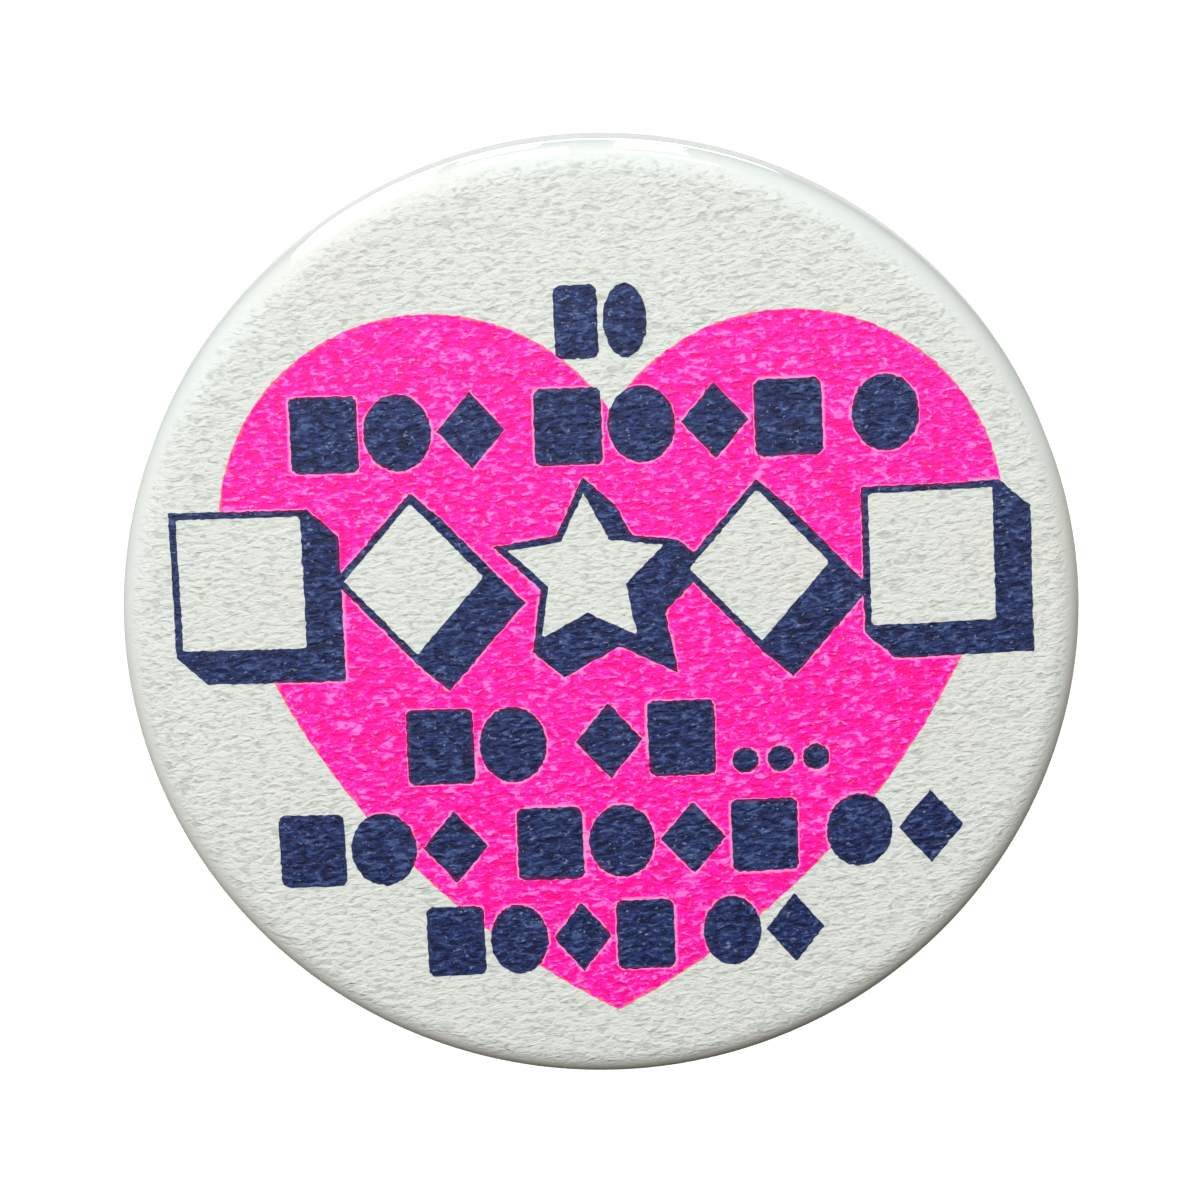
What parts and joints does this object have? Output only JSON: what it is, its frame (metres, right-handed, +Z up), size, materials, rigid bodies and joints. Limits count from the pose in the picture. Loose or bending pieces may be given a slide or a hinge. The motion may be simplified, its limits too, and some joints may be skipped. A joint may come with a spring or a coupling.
{
  "type": "pin-back button badge",
  "caption": "Round domed button badge: printed heart artwork under clear film, rolled tinplate shell, back plate and hinged wire pin with a catch.",
  "frame": {"origin": "centre of the flat rear rim, where the badge lies against the cloth", "axes": "+Y points out of the back, away from the printed face; +Z is up as the badge is worn; +X is to the right as the face is read"},
  "size_m": [0.038, 0.0048, 0.038],
  "materials": {
    "clear_film": "clear gloss polyester film",
    "printed_paper": "off-white paper with a fine laid grain",
    "pink_ink": "fluorescent pink ink on paper",
    "navy_ink": "navy ink on paper",
    "front_shell": "bare tinplate",
    "back_plate": "bright tinplate",
    "pin_foot": "nickel-plated steel wire",
    "pin_arm": "nickel-plated steel wire"
  },
  "bodies": {
    "badge": {"clear_film": "clear_film", "printed_paper": "printed_paper", "pink_ink": "pink_ink", "navy_ink": "navy_ink", "front_shell": "front_shell", "back_plate": "back_plate", "pin_foot": "pin_foot"},
    "pin": {"pin_arm": "pin_arm"}
  },
  "joints": [
    {"name": "pin_hinge", "type": "hinge", "parent": "badge", "child": "pin", "pos_m": [-0.01101, -0.0013, 0], "axis": [0, -0.766, 0.6428], "range_deg": [0, 35]}
  ]
}
